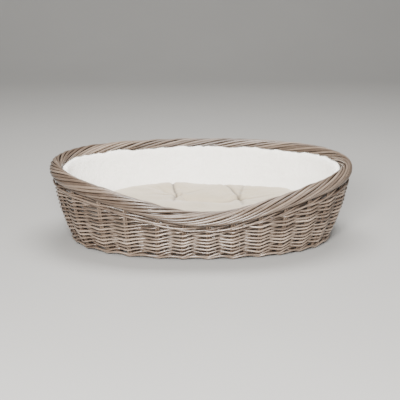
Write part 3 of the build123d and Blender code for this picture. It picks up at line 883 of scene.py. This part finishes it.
    # floor panel
    nr, na = 26, 160
    V, F = [(0.0, Y_SHIFT, LINER_Z0 + 4.2)], []
    ang = np.linspace(0, 2 * np.pi, na, endpoint=False)
    for i in range(1, nr + 1):
        f = i / nr
        x, y, _, _ = wall(LINER_Z0, ang, -LINER_OFF - LINER_T - 1.8)
        zz = LINER_Z0 + 4.2 - 1.4 * f ** 8 * np.ones(na)
        for a in range(na):
            V.append((x[a] * f, (y[a] - Y_SHIFT) * f + Y_SHIFT, zz[a]))
    x, y, _, _ = wall(LINER_Z0, ang, -LINER_OFF - LINER_T - 1.8)
    for a in range(na):
        V.append((x[a], y[a], LINER_Z0 + 0.1))
    V.append((0.0, Y_SHIFT, LINER_Z0 + 0.1))
    V = np.array(V)
    inner = np.arange(1, 1 + (nr - 1) * na)
    V[inner, 2] += 0.9 * fbm(V[inner], 0.03, 2, 4.0) + 0.5 * fbm(V[inner], 0.15, 2, 1.0)
    for a in range(na):
        F.append((0, 1 + a, 1 + (a + 1) % na))
    for i in range(nr):
        b0, b1 = 1 + i * na, 1 + (i + 1) * na
        for a in range(na):
            a1 = (a + 1) % na
            F.append((b0 + a, b1 + a, b1 + a1, b0 + a1))
    last, end = 1 + nr * na, 1 + (nr + 1) * na
    for a in range(na):
        F.append((last + (a + 1) % na, last + a, end))
    ob = mesh_object("plush_floor", V / 1000.0, F, MAT_PLUSH)
    place(ob, "liner", "plush", "liner_floor")


# ---------------------------------------------------------------- cushion
CUSH_Z0, CUSH_H = 21.8, 58.0
CUSH_OFF = 34.0


CUSH_CLEAR = 29.2    # pad's edge, in from the wall's middle surface
CUSH_MID = CUSH_Z0 + 33.0
CUSH_TOP = CUSH_Z0 + CUSH_H + 0.6


def cushion_mesh(step):
    """Closed pad: an even grid on each face, rounded over into a seam."""
    t = np.linspace(0, 2 * np.pi, 721)
    ox, oy, _, _ = wall(CUSH_MID, t, -CUSH_CLEAR)
    oy = oy - Y_SHIFT
    R = np.hypot(ox, oy)
    TH = np.unwrap(np.arctan2(oy, ox))
    n_a = int(2 * np.pi * 225 / step)
    n_a += n_a % 2
    th = np.linspace(0, 2 * np.pi, n_a, endpoint=False)
    edge = np.interp(th, TH, R)
    # rings: even over the face, closer together over the rounded side
    n_face, n_side = int(165 / step), 7
    rings = [(1 - 0.09) * i / n_face for i in range(1, n_face + 1)]
    rings += [(1 - 0.09) + 0.09 * math.sin(math.pi / 2 * i / n_side) for i in range(1, n_side + 1)]
    nr = len(rings)

    def point(f, a, sgn):
        r = edge[a] * f
        e = np.clip((1 - f) / 0.09, 0, 1)
        prof = math.sqrt(max(0.0, 1 - (1 - e) ** 2))
        dome = 1.0 + 0.05 * (1 - f * f)
        h = (CUSH_TOP - CUSH_MID) if sgn > 0 else (CUSH_MID - CUSH_Z0 - 0.6)
        return (r * math.cos(th[a]), r * math.sin(th[a]), CUSH_MID + sgn * h * prof * (dome if sgn > 0 else 1.0))

    V, F = [], []
    for sgn in (1, -1):
        start = len(V)
        V.append((0.0, 0.0, point(0.0, 0, sgn)[2]))
        for i in range(nr - (0 if sgn > 0 else 1)):
            for a in range(n_a):
                V.append(point(rings[i], a, sgn))
        if sgn > 0:
            rim = start + 1 + (nr - 1) * n_a
        for a in range(n_a):
            a1 = (a + 1) % n_a
            F.append((start, start + 1 + a, start + 1 + a1) if sgn > 0 else (start, start + 1 + a1, start + 1 + a))
        for i in range(nr - 1):
            b0 = start + 1 + i * n_a
            b1 = b0 + n_a if not (sgn < 0 and i == nr - 2) else rim
            for a in range(n_a):
                a1 = (a + 1) % n_a
                q = (b0 + a, b1 + a, b1 + a1, b0 + a1)
                F.append(q if sgn > 0 else q[::-1])
    V = np.array(V)
    # the sides follow the lining, which opens upwards
    ang = np.arctan2(V[:, 1] / 200.0, V[:, 0] / 310.0)
    wx, wy, _, _ = wall(V[:, 2], ang, -CUSH_CLEAR)
    mx, my, _, _ = wall(CUSH_MID, ang, -CUSH_CLEAR)
    grow = np.hypot(wx, wy - Y_SHIFT) / np.hypot(mx, my - Y_SHIFT)
    V[:, 0] *= grow
    V[:, 1] *= grow
    V[:, 1] += Y_SHIFT
    return V, F, rim, n_a


def make_cushion():
    step = 5.5
    V, F, rim, n_a = cushion_mesh(step)
    cy, cz = Y_SHIFT, CUSH_MID
    top_face = V[:, 2] > cz + 0.01
    tuft_ids = []
    for (tx, ty) in TUFTS:
        for sgn in (1, -1):
            face = top_face if sgn > 0 else ~top_face
            d = np.hypot(V[:, 0] - tx, V[:, 1] - ty)
            d[~face] = 1e9
            ids = np.where(d < 6.5)[0]
            if len(ids) == 0:
                ids = np.array([int(np.argmin(d))])
            tuft_ids.append(ids)
            goal = CUSH_TOP - 10.0 if sgn > 0 else CUSH_Z0 + 7.0
            V[face, 2] += (goal - V[face, 2]) * np.exp(-(d[face] / 27.0) ** 2)
    ob = mesh_object("cushion_sim", V / 1000.0, F, MAT_COTTON)
    vg = ob.vertex_groups.new(name="pin")
    for ids in tuft_ids:
        vg.add([int(i) for i in ids], 1.0, 'REPLACE')
    vg.add(list(range(rim, rim + n_a)), 1.0, 'ADD')
    md = ob.modifiers.new("cloth", 'CLOTH')
    st = md.settings
    st.quality = 5
    st.mass = 0.25
    st.use_pressure = True
    st.uniform_pressure_force = 4.0
    st.tension_stiffness = 25.0
    st.compression_stiffness = 12.0
    st.shear_stiffness = 5.0
    st.bending_stiffness = 0.25
    st.shrink_min = -0.03
    st.vertex_group_mass = "pin"
    st.pin_stiffness = 1.0
    st.effector_weights.gravity = 0.0
    md.collision_settings.use_collision = False
    md.point_cache.frame_start = 1
    md.point_cache.frame_end = 20
    SC.frame_start, SC.frame_end = 1, 20
    for fr in range(1, 21):
        SC.frame_set(fr)
    dg = bpy.context.evaluated_depsgraph_get()
    ev = ob.evaluated_get(dg)
    me = ev.to_mesh()
    W = np.empty(len(me.vertices) * 3)
    me.vertices.foreach_get("co", W)
    W = W.reshape(-1, 3) * 1000.0
    ev.to_mesh_clear()
    ob.modifiers.remove(md)
    SC.frame_set(1)
    # no point may travel far from the start
    move = W - V
    L = np.linalg.norm(move, axis=1)
    W = V + move * np.minimum(1.0, 18.0 / np.maximum(L, 1e-6))[:, None]
    # pressed down by its own weight: crowns flattened, foot on the lining
    over = W[:, 2] - (CUSH_TOP - 3.0)
    W[:, 2] = np.where(over > 0, CUSH_TOP - 3.0 + 7.5 * np.tanh(over / 12.0), W[:, 2])
    W[:, 2] = np.maximum(W[:, 2], CUSH_Z0 + 0.3)

    # soft unevenness of the filling
    msk = W[:, 2] > cz + 6
    W[msk, 2] += 1.5 * fbm(W[msk], 0.014, 2, 9.0) + 0.5 * fbm(W[msk], 0.06, 2, 2.0)
    # fuller at the back left and the back right, and at the right end
    up_x = (7.0 * np.exp(-((W[:, 0] + 80.0) / 75.0) ** 2) + 4.0 * np.exp(-((W[:, 0] - 125.0) / 60.0) ** 2)
            + 9.0 * np.clip((W[:, 0] - 170.0) / 90.0, 0, 1))
    reach = np.clip((W[:, 1] - 10.0) / 110.0, 0, 1)
    W[:, 2] += np.where(W[:, 2] > cz, up_x * reach * np.clip((W[:, 2] - cz) / 22.0, 0, 1), 0)
    W[:, 2] = np.minimum(W[:, 2], CUSH_Z0 + CUSH_H + 9.0)
    W[:, 2] = np.maximum(W[:, 2], CUSH_Z0 + 0.3)
    # keep clear of the lining
    tt = np.arctan2((W[:, 1] - Y_SHIFT) / RIM_B, W[:, 0] / RIM_A)
    for _ in range(2):
        lx, ly, nx, ny = wall(W[:, 2], tt, -CUSH_CLEAR)
        f = np.hypot(W[:, 0], W[:, 1] - Y_SHIFT) / np.hypot(lx, ly - Y_SHIFT)
        k = np.where(f > 1.0, 1.0 / f, 1.0)
        W[:, 0] *= k
        W[:, 1] = Y_SHIFT + (W[:, 1] - Y_SHIFT) * k
    ob.data.vertices.foreach_set("co", (W / 1000.0).ravel())
    ob.data.update()
    ob.name = "cushion_cover"
    ob.data.name = "cushion_cover"
    ob.vertex_groups.clear()
    sub = ob.modifiers.new("sub", 'SUBSURF')
    sub.levels = 1
    sub.render_levels = 1
    dg = bpy.context.evaluated_depsgraph_get()
    me = bpy.data.meshes.new_from_object(ob.evaluated_get(dg))
    ob.modifiers.clear()
    ob.data = me
    W0 = W
    W = np.empty(len(me.vertices) * 3)
    me.vertices.foreach_get("co", W)
    W = W.reshape(-1, 3) * 1000.0
    # creases pulled from the tufts, on the top face
    # painted shade along the creases and in the tuft pinches, kept as the deep attribute
    crease_shade_v = np.zeros(len(W))

    def crease(p, q, depth, width, fade=0.35, bend=0.0):
        p, q = np.array(p, float), np.array(q, float)
        d = q - p
        L = np.linalg.norm(d)
        side = np.array([-d[1], d[0]]) / L
        u = ((W[:, :2] - p) @ d) / L ** 2
        uc = np.clip(u, 0, 1)
        foot = p + uc[:, None] * d + (bend * np.sin(np.pi * uc))[:, None] * side
        dist = np.linalg.norm(W[:, :2] - foot, axis=1)
        run = 1 - (1 - fade) * uc
        prof = depth * run * np.exp(-(dist / width) ** 2)
        # the cloth stands proud beside a crease
        prof -= 0.42 * depth * run * np.exp(-((dist - 3.0 * width) / (2.0 * width)) ** 2)
        msk = W[:, 2] > cz
        W[msk, 2] -= prof[msk]
        crease_shade_v[msk] += (min(1.0, depth / 3.8) ** 1.6 * (0.35 + 0.65 * run) * np.exp(-(dist / (0.75 * width)) ** 2))[msk]

    (x1, y1), (x2, y2) = TUFTS
    for tx, ty in TUFTS:
        # painted shade in each tuft's pinch
        crease_shade_v += np.where(W[:, 2] > cz, 1.0 * np.exp(-(np.hypot(W[:, 0] - tx, W[:, 1] - ty) / 6.0) ** 2), 0)
    crease((x1, y1), (x1 - 10, 184), 4.2, 3.6, 1.0, 3.0)
    crease((x1, y1), (x1 - 9, y1 - 62), 4.4, 3.6, 0.4, -3.0)
    crease((x1, y1), (x1 + 62, y1 + 34), 2.2, 5.5, 0.1, 4.0)
    crease((x1, y1), (x1 - 78, y1 - 12), 2.2, 5.5, 0.1, -4.0)
    crease((x1, y1), (x1 - 48, y1 + 62), 1.8, 5.0, 0.1, 3.0)
    crease((x2, y2), (44, 184), 3.6, 3.6, 0.8, -5.0)
    crease((x2, y2), (118, 150), 3.0, 4.0, 0.3, 3.0)
    crease((x2, y2), (x2 + 3, y2 - 66), 4.2, 3.8, 0.4, 2.0)
    crease((x2, y2), (x2 - 76, y2 - 4), 2.2, 5.5, 0.1, 4.0)
    crease((x2, y2), (x2 + 84, y2 + 18), 2.2, 5.5, 0.1, -3.0)
    crease((x2, y2), (x2 + 60, y2 - 50), 1.8, 5.0, 0.1, 2.0)

    me.vertices.foreach_set("co", (W / 1000.0).ravel())
    at = me.attributes.new("deep", 'FLOAT', 'POINT')
    at.data.foreach_set("value", np.clip(crease_shade_v, 0, 1).astype(np.float32))
    me.update()
    W = W0
    me.polygons.foreach_set("use_smooth", [True] * len(me.polygons))
    place(ob, "cushion", "cotton_cover", "cushion_top_panel", "cushion_bottom_panel", "cushion_filling")
    # the seam round the pad: a fine piped ridge that follows the edge
    seam = Tubes()
    E = W[rim:rim + n_a]
    E = np.vstack([E, E[:2]])
    d = E[:, :2] - np.array([0.0, Y_SHIFT])
    d /= np.linalg.norm(d, axis=1)[:, None]
    E = E.copy()
    E[:, :2] += d * 0.4
    seam.add(E[:-1], 1.1, 8, tone=0.5, deep=0.0)
    so = seam.build("cushion_seam", MAT_COTTON)
    place(so, "cushion", "cotton_cover")
    # tuft stitches: short crossed threads sunk in each pinch
    th = Tubes()
    tree = BVHTree.FromPolygons([tuple(p) for p in W], F)
    for (tx, ty) in TUFTS:
        for sgn in (1, -1):
            hit = tree.ray_cast(Vector((tx, ty, cz + sgn * 90)), Vector((0, 0, -sgn)))
            z = hit[0].z if hit[0] is not None else cz + sgn * 6
            for ang in (0.4, 2.0):
                u = np.linspace(-1, 1, 12)
                P = np.stack([tx + 2.6 * u * math.cos(ang), ty + 2.6 * u * math.sin(ang),
                              np.maximum(z + sgn * (0.9 - 1.1 * u ** 2), CUSH_Z0 + 0.5)], -1)
                th.add(P, 0.55, 8, tone=0.5)
    to = th.build("tuft_stitches", MAT_THREAD)
    place(to, "cushion", "thread", "cushion_tuft_threads")


# ------------------------------------------------------------------ stage
def make_stage():
    m, nt, b = nodes_of("floor_pale")
    b.inputs["Base Color"].default_value = (0.5, 0.5, 0.5, 1)
    b.inputs["Roughness"].default_value = 0.75
    n = noise_tex(nt, nt.nodes.new("ShaderNodeTexCoord").outputs["Object"], 3.0, 2.0)
    nt.links.new(ramp(nt, n, [(0.0, (0.30, 0.298, 0.292)), (1.0, (0.32, 0.318, 0.312))]), b.inputs["Base Color"])
    # floor that curves up into a far backdrop
    V, F = [], []
    prof = [(-6.0, 0.0), (2.2, 0.0)]
    for i in range(1, 13):
        a = math.pi / 2 * i / 12
        prof.append((2.2 + 1.6 * math.sin(a), 1.6 - 1.6 * math.cos(a)))
    prof.append((3.8, 6.0))
    for x in (-8.0, 8.0):
        for y, z in prof:
            V.append((x, y, z))
    n = len(prof)
    for i in range(n - 1):
        F.append((i, i + 1, n + i + 1, n + i)[::-1])
    floor = mesh_object("floor_sweep", V, F, m)

    w = bpy.data.worlds.new("studio")
    SC.world = w
    w.use_nodes = True
    bg = w.node_tree.nodes["Background"]
    bg.inputs[0].default_value = (1.0, 0.985, 0.965, 1)
    bg.inputs[1].default_value = 0.36

    def area(name, loc, target, size, power, color=(1, 1, 1)):
        l = bpy.data.lights.new(name, 'AREA')
        l.shape = 'RECTANGLE'
        l.size, l.size_y = size
        l.energy = power
        l.color = color
        o = bpy.data.objects.new(name, l)
        o.location = loc
        o.rotation_euler = (Vector(target) - Vector(loc)).to_track_quat('-Z', 'Y').to_euler()
        SC.collection.objects.link(o)

    area("key", (-0.4, -2.35, 1.12), (0, 0, 0.08), (0.9, 0.6), 215.0, (1.0, 0.975, 0.94))
    area("top", (0.1, 0.35, 2.1), (0, 0.05, 0.1), (1.5, 1.1), 80.0, (1.0, 0.985, 0.955))
    area("fill", (1.5, -1.5, 0.9), (0, 0, 0.1), (1.2, 1.0), 20.0, (1.0, 0.985, 0.96))


def make_camera():
    az, el, D = math.radians(-2.19), math.radians(15.967), 2.4
    tx, tz, roll = -0.00304, 0.08606, math.radians(-0.219)
    back = Vector((math.sin(az) * math.cos(el), -math.cos(az) * math.cos(el), math.sin(el)))
    cam = bpy.data.cameras.new("camera")
    cam.sensor_width = 36.0
    cam.lens = 1025.73 / 400 * 36.0
    cam.clip_start, cam.clip_end = 0.05, 60.0
    ob = bpy.data.objects.new("camera", cam)
    SC.collection.objects.link(ob)
    ob.location = Vector((tx, Y_SHIFT / 1000.0, tz)) + back * D
    q = (-back).to_track_quat('-Z', 'Y')
    ob.rotation_mode = 'QUATERNION'
    ob.rotation_quaternion = q @ Matrix.Rotation(-roll, 4, 'Z').to_quaternion()
    SC.camera = ob


make_camera()
make_stage()
make_rows()
wale(lambda t: np.full_like(t, UPSETT_Z), 4, "upsett_wale", "willow_upsett_wale", 2.35)
wale(lambda t: rim_z(t) - BORDER_V - 8.2, 19, "top_wale", "willow_top_wale", 2.2, dips=False)
make_stakes()
make_border()
make_base()
make_liner()
make_cushion()
